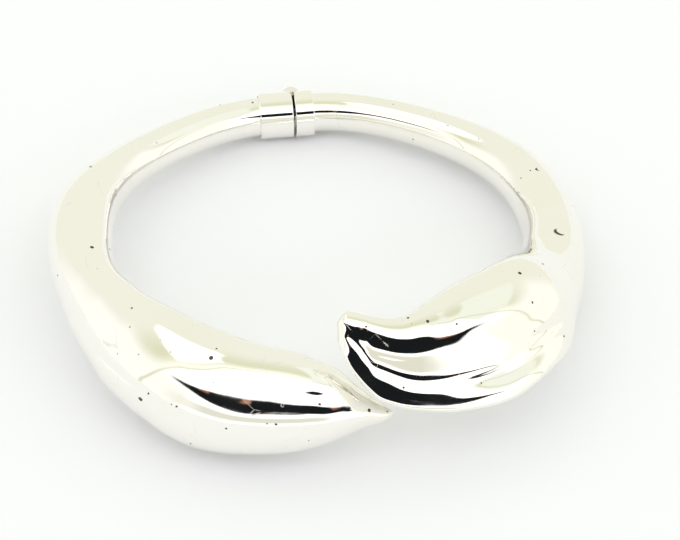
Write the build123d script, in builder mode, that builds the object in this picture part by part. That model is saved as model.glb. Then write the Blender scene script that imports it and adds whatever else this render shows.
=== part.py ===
from build123d import *
import math
import os

# Hinged bypass bangle in hollow die-struck silver, lying on its side edge-on a table:
# +Z up, hinge at the back (+Y), leaf terminals crossing at the front (-Y), millimetres.

# ---------------------------------------------------------------- driving dimensions
INNER_HALF_WIDTH = 30.0      # half width of the guide oval across X
INNER_HALF_DEPTH = 27.98     # half depth of the guide oval along Y
OVAL_POWER = 1.88            # superellipse power of the guide oval
SHIFT_X = 0.298              # keeps the whole piece centred on the origin
SHIFT_Y = 0.264
SHIFT_Z = -0.027              # lowest point rests on the table
WALL = 0.55                  # sheet thickness of the struck shells
SEAM_FIT = 0.02              # solder line between the shell halves
TUBE_D = 5.70                # tube diameter at the hinge
AXIS_Z = 3.40 + SHIFT_Z      # height of the tube centre at the hinge
COLLAR_D = 6.74              # hinge collars
COLLAR_BORE = 5.90
LEFT_COLLAR_L = 4.85
RIGHT_COLLAR_L = 2.75
SEAM_GAP = 0.30              # gap between the two collars when closed
RELIEF_SLOPE = 0.12          # slope of the V relief on the outer side of the seam
PLUG_D = 5.86
LEFT_PLUG_L = 1.75
RIGHT_PLUG_L = 1.75
HINGE_TILT = 8.0             # hinge axis leans back with the mid-plane of the bangle
HINGE_OFFSET = 2.45          # hinge axis outboard of the tube centre
BARREL_D = 2.20
POCKET_D = 2.60
PIN_D = 1.00
PIN_FIT = 0.03
BARREL_H = 4.10
KNUCKLE_GAP = 0.08
HEAD_D = 1.70
HEAD_H = 0.35
SPRING_AXIS = -0.84          # spring line relative to the tube centre (inboard)
SPRING_OD = 2.00
SPRING_WIRE = 0.40
SPRING_TURNS = 9
SPRING_X0 = -7.90            # far end of the coil
ANCHOR_D = 0.70
LEFT_ANCHOR_X = -9.30
RIGHT_ANCHOR_X = 2.85
ANCHOR_FIT = 0.05

# station rows: angle from the hinge (deg), radial thickness, height, centre height, offset
LEFT_ROWS = [
    (19.05, 5.68, 5.68, 4.29, 1.68),
    (30.49, 5.83, 5.80, 4.99, 1.31),
    (53.46, 6.75, 6.73, 6.45, 0.72),
    (64.76, 7.85, 7.83, 7.73, -0.24),
    (76.26, 8.76, 8.50, 8.80, -1.27),
    (84.30, 8.96, 8.55, 9.04, -1.71),
    (91.97, 8.89, 8.74, 8.93, -1.89),
    (99.63, 8.80, 9.65, 8.73, -1.92),
    (107.30, 8.94, 11.57, 8.74, -1.87),
    (114.96, 9.42, 14.21, 9.03, -1.73),
    (122.62, 10.16, 16.85, 9.43, -1.45),
    (130.29, 10.91, 18.75, 9.72, -1.03),
    (137.95, 11.34, 19.59, 9.82, -0.49),
    (145.62, 11.24, 19.45, 9.87, 0.07),
    (153.28, 10.53, 18.79, 10.01, 0.49),
    (160.94, 9.19, 18.16, 10.05, 0.70),
    (167.65, 7.39, 17.31, 9.44, 0.74),
    (173.40, 5.29, 14.85, 7.87, 0.73),
    (178.19, 3.44, 10.79, 5.88, 0.75),
    (182.02, 2.40, 7.00, 4.34, 0.81),
    (185.09, 1.97, 4.40, 3.51, 0.93),
    (187.77, 1.73, 2.74, 3.20, 1.14),
    (189.30, 1.52, 2.01, 3.19, 1.32),
    (190.64, 1.23, 1.45, 3.29, 1.52),
    (191.60, 0.96, 1.08, 3.40, 1.70),
]
RIGHT_ROWS = [
    (18.07, 5.57, 5.52, 3.86, 1.89),
    (28.92, 5.78, 5.80, 4.25, 1.52),
    (50.58, 6.62, 6.50, 4.52, 1.15),
    (61.54, 7.27, 6.87, 4.90, 0.60),
    (73.04, 7.66, 7.78, 5.27, -0.33),
    (80.34, 7.84, 8.72, 5.51, -0.99),
    (87.65, 8.15, 9.83, 5.86, -1.62),
    (94.95, 8.55, 10.92, 6.27, -2.09),
    (102.26, 8.83, 11.97, 6.62, -2.28),
    (109.56, 8.98, 13.35, 7.08, -2.12),
    (116.86, 9.45, 15.52, 8.12, -1.76),
    (124.17, 10.63, 18.33, 9.93, -1.42),
    (131.47, 12.13, 20.74, 11.89, -1.24),
    (138.78, 12.96, 21.69, 13.05, -1.17),
    (146.08, 12.30, 21.06, 13.06, -1.13),
    (153.38, 10.22, 19.65, 12.52, -1.09),
    (159.78, 7.86, 18.35, 12.31, -1.05),
    (165.25, 5.86, 17.10, 12.73, -0.97),
    (169.82, 4.45, 15.72, 13.86, -0.76),
    (173.47, 3.65, 14.22, 15.66, -0.41),
    (176.39, 3.22, 12.56, 17.80, 0.04),
    (178.95, 2.80, 10.22, 19.95, 0.58),
    (179.68, 2.61, 9.28, 20.54, 0.76),
    (181.32, 2.03, 6.53, 21.74, 1.21),
    (182.60, 1.39, 3.80, 22.52, 1.60),
]
SOLID_FROM = 18              # station index where the hollow leaf closes to a solid tip
LEFT_STRAIGHT = (-2.00, -5.80)    # the tubes run straight through the collars
RIGHT_STRAIGHT = (2.00, 3.90)
FACE_TILT = 43.0             # the leaf faces look up and out at this angle
LIFT_AZIMUTH = -6.73         # direction along which the leaf crests are raised
# how far the leaf section has replaced the plain oval: from and to, share of the arm length
LEAF_START = {"left": (0.40, 0.66), "right": (0.42, 0.72)}
BACK_DEPTH = {"left": 0.80, "right": 0.62}
# height of the leaf crest above the guide oval, along the face direction
CREST = {"left": [(0.38, 12.6), (0.48, 12.1), (0.55, 12.0), (0.60, 12.5), (0.65, 13.3), (0.70, 14.1), (0.75, 14.6), (0.79, 14.75), (0.83, 14.55), (0.87, 13.9), (0.91, 12.9), (0.95, 11.5), (1.0, 9.6)],
         "right": [(0.40, 9.9), (0.50, 10.3), (0.56, 11.3), (0.62, 13.2), (0.67, 15.0), (0.71, 16.2), (0.75, 16.8), (0.79, 17.0), (0.84, 16.9), (0.88, 16.6), (0.92, 16.1), (0.96, 15.6), (1.0, 14.9)]}
# what the rims stand out beyond the rows: share of length, upper rim, lower rim
RIM = {"left": [(0.0, 0, 0), (0.56, 0, 0), (0.60, -0.2, 0.5), (0.626, -0.5, 0.9), (0.654, -0.6, 0.95), (0.68, -0.5, 1.1), (0.71, -0.4, 1.1), (0.745, -0.25, 0.6), (0.784, -0.15, 0.1), (0.822, -0.4, 0), (0.85, -0.6, 0), (0.878, -0.5, 0.1), (0.902, -0.1, 0.35), (0.93, 1.5, 0.65), (0.95, 2.3, 0.75), (0.965, 2.4, 0.75), (0.98, 1.8, 0.6), (0.99, 1.15, 0.5), (1.0, 0.5, 0.3)],
       "right": [(0.0, 0, 0), (0.56, 0, 0), (0.60, 0.3, 0.3), (0.626, 0.65, 0.9), (0.654, 0.9, 1.6), (0.682, 0.65, 2.2), (0.71, 0.2, 2.6), (0.738, -0.1, 2.8), (0.766, -0.15, 2.7), (0.794, 0.15, 1.9), (0.822, 0.45, 0.9), (0.863, 0.1, 0.25), (0.878, -0.3, 0), (0.906, -1.0, -0.4), (0.941, -1.25, -1.5), (0.963, -1.57, -2.5), (0.98, -1.7, -2.75), (0.99, -1.4, -2.7), (1.0, -1.0, -2.9)]}
# rounded nose: where it starts, how far it drops
NOSE = {"left": (0.988, 0.6), "right": (0.984, 1.1)}
# leaf faces: surface tilt (deg) against the position angle across the face, at shares of the arm length
LEFT_FACE = {
    0.40: [(-90, -90), (-72, -72), (-58, -58), (-44, -44), (-32, -32), (-25, -25), (-20, -20), (-15, -15), (-8, -8), (-1, -1), (6, 6), (17, 17), (34, 34), (44, 44), (58, 58), (72, 72), (90, 90)],
    0.62: [(-90, -90), (-72, -68), (-58, -50), (-44, -34), (-34, -12), (-30, -8), (-26, -18), (-21, -16), (-14, -9), (-7, -4), (0, 1), (14, 10), (32, 23), (44, 33), (58, 47), (72, 64), (90, 90)],
    0.77: [(-90, -90), (-72, -68), (-58, -48), (-44, -33), (-34, -26), (-24, -20), (-17, -13), (-11, -5), (-5, -1), (1, 2), (8, 6), (18, 12), (34, 22), (44, 32), (58, 46), (72, 62), (90, 90)],
    0.83: [(-90, -90), (-72, -70), (-58, -50), (-44, -36), (-32, -27), (-25, -20), (-20, -13), (-15, -5), (-8, -2), (-1, 2), (6, 5), (17, 11), (34, 21), (44, 31), (58, 45), (72, 62), (90, 90)],
    0.895: [(-90, -90), (-72, -70), (-58, -50), (-44, -36), (-32, -26), (-25, -20), (-20, -13), (-15, -5), (-10, -2), (-5, 2), (1, 6), (8, 7), (13, 3.2), (16, 1.6), (20, 8), (34, 24), (44, 33), (58, 47), (72, 64), (90, 90)],
    0.935: [(-90, -90), (-72, -70), (-58, -52), (-44, -38), (-34, -30), (-28, -22), (-22, -12), (-19, -5), (-16, -1), (-13, 4), (-6, 6), (-1, 2.4), (2, 1.2), (5, 5), (9, 3.2), (12, 1.0), (16, 7), (24, 14), (34, 24), (44, 36), (58, 50), (72, 66), (90, 90)],
    0.97: [(-90, -90), (-72, -70), (-58, -54), (-44, -40), (-34, -30), (-28, -24), (-24, -18), (-20, -10), (-16, -3), (-12, 4), (0, 9), (17, 20), (34, 32), (44, 41), (58, 54), (72, 68), (90, 90)],
    1.00: [(-90, -90), (-72, -70), (-58, -54), (-44, -40), (-34, -30), (-28, -24), (-24, -18), (-20, -12), (-16, -6), (-12, 0), (0, 9), (17, 22), (34, 34), (44, 42), (58, 54), (72, 68), (90, 90)],
}
RIGHT_FACE = {
    0.42: [(-90, -90), (-68, -68), (-61, -61), (-54, -54), (-51, -51), (-44, -44), (-37, -37), (-29, -29), (-26, -26), (-22, -22), (-19, -19), (-16, -16), (-11, -11), (-5, -5), (2, 2), (11, 11), (20, 20), (27, 27), (37, 37), (48, 48), (67, 67), (90, 90)],
    0.66: [(-90, -90), (-76, -60), (-70, -45), (-66, -34), (-60, -20), (-52, -10), (-44, -6), (-37, -7), (-32, -10), (-28, -10), (-24, -14), (-19, -16), (-14, -14), (-8, -9), (-2, -3), (8, 6), (20, 14), (36, 26), (50, 40), (68, 60), (90, 90)],
    0.80: [(-90, -90), (-74, -50), (-68, -14), (-64, -5), (-60, 2), (-52, 9), (-46, 14), (-38, 12), (-34, 1), (-30, 7), (-26, 5), (-23, -3), (-19, -11), (-14, -14), (-9, -11), (-4, -5), (4, -2), (13, 2.5), (24, 12), (42, 28), (64, 50), (90, 90)],
    0.845: [(-90, -90), (-74, -36), (-66, -8), (-61, -4), (-54, 2), (-47, 11), (-38, 16), (-31, 10), (-27, 0), (-24, 7), (-21.5, 5), (-19, -2), (-16, -9), (-11, -14), (-5, -12), (0, -5), (9, -1), (19, 2.5), (27, 10), (42, 24), (64, 48), (90, 90)],
    0.90: [(-90, -90), (-78, -50), (-70, -14), (-66, -6), (-54, -2), (-40, 2), (-35, 9), (-29, 14), (-24, 9), (-20, 2), (-16, -2), (-12, -6), (-8, -11), (-1, -14), (5, -12), (11, -5), (20, -1), (31, 2.5), (38, 9), (50, 24), (66, 46), (90, 90)],
    0.96: [(-90, -90), (-80, -45), (-74, -12), (-68, -5), (-48, -1), (-30, 2), (-24, 8), (-19, 10), (-15, 6), (-11, 1), (-7, -3), (-4, -6), (0, -10), (6, -11), (10, -8), (14, -4), (26, -1), (38, 2.5), (45, 9), (55, 24), (66, 44), (78, 66), (90, 90)],
    0.98: [(-90, -90), (-76, -45), (-69, -10), (-63, -5), (-35, -1), (-12, 2), (-6, 6), (-1, 8), (4, 5), (8, 1), (20, -2), (34, 2), (42, 9), (52, 24), (64, 42), (78, 66), (90, 90)],
    1.00: [(-90, -90), (-74, -45), (-65, -10), (-59, -4), (-20, -1.5), (0, -1), (20, 0), (31, 2.5), (40, 12), (52, 28), (64, 44), (78, 66), (90, 90)],
}

# ---------------------------------------------------------------- geometry helpers


def guide(angle):
    """point and outward normal of the guide oval, angle measured from +Y towards -X"""
    def pt(a):
        s, c = math.sin(a), math.cos(a)
        r = 1 / (abs(s / INNER_HALF_WIDTH) ** OVAL_POWER + abs(c / INNER_HALF_DEPTH) ** OVAL_POWER) ** (1 / OVAL_POWER)
        return -r * s, r * c
    a = math.radians(angle)
    x, y = pt(a)
    x1, y1 = pt(a + 0.004)
    x0, y0 = pt(a - 0.004)
    dx, dy = x1 - x0, y1 - y0
    length = math.hypot(dx, dy)
    nx, ny = dy / length, -dx / length
    if nx * x + ny * y < 0:
        nx, ny = -nx, -ny
    return x, y, nx, ny


def station(row, side):
    """section plane of one station; local x points outward, local y up"""
    angle, thick, height, zc, off = row
    x, y, nx, ny = guide(angle)
    x += nx * (thick / 2 + off)
    y += ny * (thick / 2 + off)
    if side == "right":
        x, nx = -x, -nx
    return Plane(origin=(x + SHIFT_X, y + SHIFT_Y, zc + SHIFT_Z), x_dir=(nx, ny, 0), z_dir=(ny, -nx, 0))


def ramp(t):
    t = max(0.0, min(1.0, t))
    return t * t * (3 - 2 * t)


def monotone(xk, yk, x):
    """smooth curve through the knots, without overshoot"""
    n = len(xk)
    x = max(xk[0], min(xk[-1], x))
    h = [xk[i + 1] - xk[i] for i in range(n - 1)]
    d = [(yk[i + 1] - yk[i]) / h[i] for i in range(n - 1)]
    m = [0.0] * n
    m[0], m[-1] = d[0], d[-1]
    for i in range(1, n - 1):
        if d[i - 1] * d[i] > 0:
            w1, w2 = 2 * h[i] + h[i - 1], h[i] + 2 * h[i - 1]
            m[i] = (w1 + w2) / (w1 / d[i - 1] + w2 / d[i])
    i = 0
    while i < n - 2 and x > xk[i + 1]:
        i += 1
    t = (x - xk[i]) / h[i]
    return ((2 * t ** 3 - 3 * t ** 2 + 1) * yk[i] + (t ** 3 - 2 * t ** 2 + t) * h[i] * m[i]
            + (-2 * t ** 3 + 3 * t ** 2) * yk[i + 1] + (t ** 3 - t ** 2) * h[i] * m[i + 1])


STEPS = 360                  # half-degree steps across the face


def face_curve(table):
    """depth across the leaf face, in half widths, at every step, from the tilt table"""
    tk, dk = [v[0] for v in table], [v[1] - v[0] for v in table]
    dev = [monotone(tk, dk, -90 + 180 * i / STEPS) for i in range(STEPS + 1)]
    taps = [math.sin(math.pi * (k + 1) / 12) ** 2 for k in range(11)]
    total = sum(taps)
    out, depth, last = [0.0], 0.0, None
    for i in range(STEPS + 1):
        t = -90 + 180 * i / STEPS
        mean = sum(taps[k] * dev[max(0, min(STEPS, i + k - 5))] for k in range(11)) / total
        mean *= min(1.0, (90 - abs(t)) / 6)
        tilt_ = math.radians(max(-89.9, min(89.9, t + mean)))
        f = math.tan(tilt_) * math.cos(math.radians(t)) if abs(t) < 89.6 else (1.0 if t > 0 else -1.0)
        f = max(-3.0, min(3.0, f))
        if last is not None:
            depth -= (f + last) / 2 * math.radians(180 / STEPS)
            out.append(depth)
        last = f
    return out


FACES = {}
for _name, _table in (("left", LEFT_FACE), ("right", RIGHT_FACE)):
    _keys = sorted(_table)
    FACES[_name] = (_keys, [face_curve(_table[k]) for k in _keys])

FACE_T = [-90, -82, -74, -66, -58, -50, -43, -36, -29, -22, -15, -8, -1, 6, 14, 22, 31, 41, 52, 64, 77, 90]
BACK_T = [90 - 18 * k for k in range(11)]
CF, SF = math.cos(math.radians(FACE_TILT)), math.sin(math.radians(FACE_TILT))


def section(row, side, frac):
    """half width, face function, back depth, rim heights, sideways shift and lift of one section"""
    a, b = row[1] / 2, row[2] / 2
    q0 = CF * (a + row[4]) + SF * row[3]
    half = math.hypot(SF * a, CF * b)
    skew = SF * CF * (b * b - a * a) / half
    deep = a * b / half
    w = ramp((frac - LEAF_START[side][0]) / (LEAF_START[side][1] - LEAF_START[side][0]))
    rk = [v[0] for v in RIM[side]]
    up_rim = monotone(rk, [v[1] for v in RIM[side]], frac)
    low_rim = monotone(rk, [v[2] for v in RIM[side]], frac)
    nose = max(0.0, min(1.0, (frac - NOSE[side][0]) / (1 - NOSE[side][0])))
    width = (half + (up_rim - low_rim) / 2) * math.sqrt(1 - 0.8 * nose ** 2)
    keys, curves = FACES[side]
    prof = [monotone(keys, [c[i] for c in curves], frac) for i in range(0, STEPS + 1, 2)]
    mid = sum(prof[61:120]) / 59 + 0.03
    plain = [skew * math.sin(math.radians(t)) + deep * math.cos(math.radians(t)) for t in range(-90, 91)]
    crest = max(plain) * 0.86
    face = [plain[i] * (1 - w) + (width * (prof[i] - mid) + crest) * w for i in range(181)]
    ck = [v[0] for v in CREST[side]]
    lift = w * (monotone(ck, [v[1] for v in CREST[side]], frac) - q0 - crest)
    lift -= NOSE[side][1] * (1 - math.sqrt(1 - 0.97 * nose ** 2))
    back = deep * (1 - w) + BACK_DEPTH[side] * width * w
    return width, face, back, (up_rim + low_rim) / 2, lift


def tube_section():
    r = TUBE_D / 2
    return r, [r * math.cos(math.radians(t)) for t in range(-90, 91)], r, 0.0, 0.0


def face_points(sec, wall=0.0):
    """points of the face from the lower rim to the upper rim, (outward, up)"""
    width, face, back, shift, lift = sec
    pts = []
    for t in FACE_T:
        p = (width - wall) * math.sin(math.radians(t)) + shift
        q = face[t + 90] - wall * math.cos(math.radians(t))
        pts.append((CF * q - SF * p, CF * p + SF * q))
    return pts


def back_points(sec, wall=0.0, drop=0.0):
    """points of the back from the upper rim to the lower rim, (outward, up)"""
    width, face, back, shift, lift = sec
    top, low = face[180], face[0]
    pts = []
    for t in BACK_T:
        s = math.sin(math.radians(t))
        p = (width - wall) * s + shift
        q = (top + low) / 2 + (top - low) / 2 * s - (back - wall) * math.cos(math.radians(t)) - drop
        pts.append((CF * q - SF * p, CF * p + SF * q))
    return pts


def raised(row, side, sec):
    """section plane of one station, raised by its lift"""
    base = station(row, side)
    la = math.radians(LIFT_AZIMUTH)
    dx, dy, dz = math.sin(la) * CF, -math.cos(la) * CF, SF
    along = CF * (base.x_dir.X * dx + base.x_dir.Y * dy) + SF * SF
    k = sec[4] / along
    o = base.origin
    return Plane(origin=(o.X + k * dx, o.Y + k * dy, o.Z + k * dz), x_dir=base.x_dir, z_dir=base.z_dir)


# values measured along the hinge line
HX = SHIFT_X
_gx, _gy, _gnx, _gny = guide(0.0)
TUBE_Y = _gy + TUBE_D / 2 + 2.32 + SHIFT_Y
HINGE_Y = TUBE_Y + HINGE_OFFSET
tilt = math.radians(HINGE_TILT)
hinge_base = Plane(origin=(HX, HINGE_Y, AXIS_Z), x_dir=(1, 0, 0), z_dir=(0, math.sin(tilt), math.cos(tilt)))


def along_x(x):
    """plane across the tube at the given distance from the hinge seam"""
    return Plane(origin=(HX + x, TUBE_Y, AXIS_Z), x_dir=(0, 1, 0), z_dir=(1, 0, 0))


def hinge_plane(h):
    """plane across the hinge axis at height h along the axis"""
    return hinge_base.offset(h)


# ---------------------------------------------------------------- left arm
left_last = LEFT_ROWS[-1][0]
left_sections = [section(row, "left", row[0] / left_last) for row in LEFT_ROWS]
left_planes = [raised(row, "left", sec) for row, sec in zip(LEFT_ROWS, left_sections)]
with BuildPart() as left_arm_outer_shell:
    for x in LEFT_STRAIGHT:
        with BuildSketch(along_x(x)):
            with BuildLine():
                out = Spline(*face_points(tube_section()))
                inn = Spline(*face_points(tube_section(), WALL)[::-1])
                Line(out @ 1, inn @ 0)
                Line(inn @ 1, out @ 0)
            make_face()
    for plane, sec in zip(left_planes[:SOLID_FROM + 1], left_sections):
        with BuildSketch(plane):
            with BuildLine():
                out = Spline(*face_points(sec))
                inn = Spline(*face_points(sec, WALL)[::-1])
                Line(out @ 1, inn @ 0)
                Line(inn @ 1, out @ 0)
            make_face()
    loft()
    for plane, sec in zip(left_planes[SOLID_FROM:], left_sections[SOLID_FROM:]):
        with BuildSketch(plane):
            with BuildLine():
                out = Spline(*face_points(sec))
                back = Spline(*back_points(sec))
            make_face()
    loft()

with BuildPart() as left_arm_inner_shell:
    for x in LEFT_STRAIGHT:
        with BuildSketch(along_x(x)):
            with BuildLine():
                out = Spline(*back_points(tube_section(), 0, SEAM_FIT))
                inn = Spline(*back_points(tube_section(), WALL, SEAM_FIT)[::-1])
                Line(out @ 1, inn @ 0)
                Line(inn @ 1, out @ 0)
            make_face()
    for plane, sec in zip(left_planes[:SOLID_FROM + 1], left_sections):
        with BuildSketch(plane):
            with BuildLine():
                out = Spline(*back_points(sec, 0, SEAM_FIT))
                inn = Spline(*back_points(sec, WALL, SEAM_FIT)[::-1])
                Line(out @ 1, inn @ 0)
                Line(inn @ 1, out @ 0)
            make_face()
    loft()

# ---------------------------------------------------------------- right arm
right_last = RIGHT_ROWS[-1][0]
right_sections = [section(row, "right", row[0] / right_last) for row in RIGHT_ROWS]
right_planes = [raised(row, "right", sec) for row, sec in zip(RIGHT_ROWS, right_sections)]
with BuildPart() as right_arm_outer_shell:
    for x in RIGHT_STRAIGHT:
        with BuildSketch(along_x(x)):
            with BuildLine():
                out = Spline(*face_points(tube_section()))
                inn = Spline(*face_points(tube_section(), WALL)[::-1])
                Line(out @ 1, inn @ 0)
                Line(inn @ 1, out @ 0)
            make_face()
    for plane, sec in zip(right_planes[:SOLID_FROM + 1], right_sections):
        with BuildSketch(plane):
            with BuildLine():
                out = Spline(*face_points(sec))
                inn = Spline(*face_points(sec, WALL)[::-1])
                Line(out @ 1, inn @ 0)
                Line(inn @ 1, out @ 0)
            make_face()
    loft()
    for plane, sec in zip(right_planes[SOLID_FROM:], right_sections[SOLID_FROM:]):
        with BuildSketch(plane):
            with BuildLine():
                out = Spline(*face_points(sec))
                back = Spline(*back_points(sec))
            make_face()
    loft()

with BuildPart() as right_arm_inner_shell:
    for x in RIGHT_STRAIGHT:
        with BuildSketch(along_x(x)):
            with BuildLine():
                out = Spline(*back_points(tube_section(), 0, SEAM_FIT))
                inn = Spline(*back_points(tube_section(), WALL, SEAM_FIT)[::-1])
                Line(out @ 1, inn @ 0)
                Line(inn @ 1, out @ 0)
            make_face()
    for plane, sec in zip(right_planes[:SOLID_FROM + 1], right_sections):
        with BuildSketch(plane):
            with BuildLine():
                out = Spline(*back_points(sec, 0, SEAM_FIT))
                inn = Spline(*back_points(sec, WALL, SEAM_FIT)[::-1])
                Line(out @ 1, inn @ 0)
                Line(inn @ 1, out @ 0)
            make_face()
    loft()

# ---------------------------------------------------------------- hinge collars and plugs
half_gap = SEAM_GAP / 2
relief_y0 = TUBE_Y - 0.5
relief_y1 = TUBE_Y + 4.5
relief_w = RELIEF_SLOPE * (relief_y1 - relief_y0)
pocket_h = 2 * (BARREL_H / 2 + HEAD_H + 0.15)
spring_y = TUBE_Y + SPRING_AXIS

with BuildPart() as left_collar:
    with BuildSketch(along_x(-half_gap - LEFT_COLLAR_L)):
        Circle(COLLAR_D / 2)
        Circle(COLLAR_BORE / 2, mode=Mode.SUBTRACT)
    extrude(amount=LEFT_COLLAR_L)
    fillet(left_collar.edges().filter_by(GeomType.CIRCLE).sort_by(SortBy.RADIUS)[-2:], 0.16)
    with BuildSketch(Plane.XY):
        with BuildLine():
            Polyline((HX + 0.2, relief_y0), (HX - half_gap, relief_y0),
                     (HX - half_gap - relief_w, relief_y1), (HX + 0.2, relief_y1), close=True)
        make_face()
    extrude(amount=10, mode=Mode.SUBTRACT)
    with BuildSketch(hinge_plane(-pocket_h / 2)):
        Circle(POCKET_D / 2)
    extrude(amount=pocket_h, mode=Mode.SUBTRACT)

with BuildPart() as right_collar:
    with BuildSketch(along_x(half_gap)):
        Circle(COLLAR_D / 2)
        Circle(COLLAR_BORE / 2, mode=Mode.SUBTRACT)
    extrude(amount=RIGHT_COLLAR_L)
    fillet(right_collar.edges().filter_by(GeomType.CIRCLE).sort_by(SortBy.RADIUS)[-2:], 0.16)
    with BuildSketch(Plane.XY):
        with BuildLine():
            Polyline((HX - 0.2, relief_y0), (HX + half_gap, relief_y0),
                     (HX + half_gap + relief_w, relief_y1), (HX - 0.2, relief_y1), close=True)
        make_face()
    extrude(amount=10, mode=Mode.SUBTRACT)
    with BuildSketch(hinge_plane(-pocket_h / 2)):
        Circle(POCKET_D / 2)
    extrude(amount=pocket_h, mode=Mode.SUBTRACT)

with BuildPart() as left_end_plug:
    with BuildSketch(along_x(-half_gap - LEFT_PLUG_L)):
        Circle(PLUG_D / 2)
        with Locations((SPRING_AXIS, 0)):
            Circle(0.55, mode=Mode.SUBTRACT)
    extrude(amount=LEFT_PLUG_L)
    with BuildSketch(Plane.XY):
        with BuildLine():
            Polyline((HX + 0.2, relief_y0), (HX - half_gap, relief_y0),
                     (HX - half_gap - relief_w, relief_y1), (HX + 0.2, relief_y1), close=True)
        make_face()
    extrude(amount=10, mode=Mode.SUBTRACT)
    with BuildSketch(hinge_plane(-pocket_h / 2)):
        Circle(POCKET_D / 2)
    extrude(amount=pocket_h, mode=Mode.SUBTRACT)

with BuildPart() as right_end_plug:
    with BuildSketch(along_x(half_gap)):
        Circle(PLUG_D / 2)
        with Locations((SPRING_AXIS + 0.1, 0)):
            SlotOverall(2.0, 1.1, mode=Mode.SUBTRACT)
    extrude(amount=RIGHT_PLUG_L)
    with BuildSketch(Plane.XY):
        with BuildLine():
            Polyline((HX - 0.2, relief_y0), (HX + half_gap, relief_y0),
                     (HX + half_gap + relief_w, relief_y1), (HX - 0.2, relief_y1), close=True)
        make_face()
    extrude(amount=10, mode=Mode.SUBTRACT)
    with BuildSketch(hinge_plane(-pocket_h / 2)):
        Circle(POCKET_D / 2)
    extrude(amount=pocket_h, mode=Mode.SUBTRACT)

# ---------------------------------------------------------------- hinge knuckles and pin
CENTRE_H = 1.50
side_h = (BARREL_H - CENTRE_H) / 2 - KNUCKLE_GAP
side_z = CENTRE_H / 2 + KNUCKLE_GAP

with BuildPart() as left_knuckle_upper:
    with BuildSketch(hinge_plane(side_z)):
        Circle(BARREL_D / 2)
        with Locations((-0.80, 0)):
            Rectangle(0.82, 0.90)
        Circle(PIN_D / 2 + 0.01, mode=Mode.SUBTRACT)
    extrude(amount=side_h)

with BuildPart() as left_knuckle_lower:
    with BuildSketch(hinge_plane(-side_z - side_h)):
        Circle(BARREL_D / 2)
        with Locations((-0.80, 0)):
            Rectangle(0.82, 0.90)
        Circle(PIN_D / 2 + 0.01, mode=Mode.SUBTRACT)
    extrude(amount=side_h)

with BuildPart() as right_knuckle:
    with BuildSketch(hinge_plane(-CENTRE_H / 2)):
        Circle(BARREL_D / 2)
        with Locations((0.80, 0)):
            Rectangle(0.82, 0.90)
        Circle(PIN_D / 2 + PIN_FIT, mode=Mode.SUBTRACT)
    extrude(amount=CENTRE_H)

head_z = BARREL_H / 2 + 0.01
with BuildPart() as hinge_pin:
    with BuildSketch(hinge_plane(-head_z)):
        Circle(PIN_D / 2)
    extrude(amount=2 * head_z)
    with BuildSketch(hinge_plane(head_z)):
        Circle(HEAD_D / 2)
    extrude(amount=HEAD_H, taper=20)
    with BuildSketch(hinge_plane(-head_z)):
        Circle(HEAD_D / 2)
    extrude(amount=-HEAD_H, taper=20)

# ---------------------------------------------------------------- spring and its anchor pins
with BuildPart() as left_spring_anchor_pin:
    with BuildSketch(Plane(origin=(HX + LEFT_ANCHOR_X, spring_y, 2.30))):
        Circle(ANCHOR_D / 2)
    extrude(amount=3.50)

with BuildPart() as right_spring_anchor_pin:
    with BuildSketch(Plane(origin=(HX + RIGHT_ANCHOR_X, spring_y, AXIS_Z - 1.80))):
        Circle(ANCHOR_D / 2)
    extrude(amount=3.60)

coil_r = (SPRING_OD - SPRING_WIRE) / 2
coil_pitch = SPRING_WIRE * 1.05
coil_len = coil_pitch * SPRING_TURNS
eye_r = ANCHOR_D / 2 + ANCHOR_FIT + SPRING_WIRE / 2
sx0 = HX + SPRING_X0
with BuildPart() as closing_spring:
    with BuildLine() as coil_path:
        Helix(coil_pitch, coil_len, coil_r, center=(sx0, spring_y, AXIS_Z), direction=(1, 0, 0))
    with BuildSketch(Plane(origin=coil_path.line @ 0, z_dir=coil_path.line % 0)):
        Circle(SPRING_WIRE / 2)
    sweep(path=coil_path.line, is_frenet=True)
    c0, t0 = coil_path.line @ 0, coil_path.line % 0
    c1, t1 = coil_path.line @ 1, coil_path.line % 1
    with BuildLine() as right_hook:
        Spline(c1, (c1.X + 1.3, spring_y, AXIS_Z), tangents=(t1, (1, 0, 0)))
        Line((c1.X + 1.3, spring_y, AXIS_Z), (HX + RIGHT_ANCHOR_X - eye_r, spring_y, AXIS_Z))
    with BuildSketch(Plane(origin=right_hook.line @ 0, z_dir=right_hook.line % 0)):
        Circle(SPRING_WIRE / 2)
    sweep(path=right_hook.line)
    with BuildLine() as left_hook:
        Spline(c0, (HX + LEFT_ANCHOR_X + eye_r, spring_y, AXIS_Z), tangents=(t0 * -1, (-1, 0, 0)))
    with BuildSketch(Plane(origin=left_hook.line @ 0, z_dir=left_hook.line % 0)):
        Circle(SPRING_WIRE / 2)
    sweep(path=left_hook.line)
    with Locations((HX + RIGHT_ANCHOR_X, spring_y, AXIS_Z), (HX + LEFT_ANCHOR_X, spring_y, AXIS_Z)):
        Torus(eye_r, SPRING_WIRE / 2)

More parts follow.
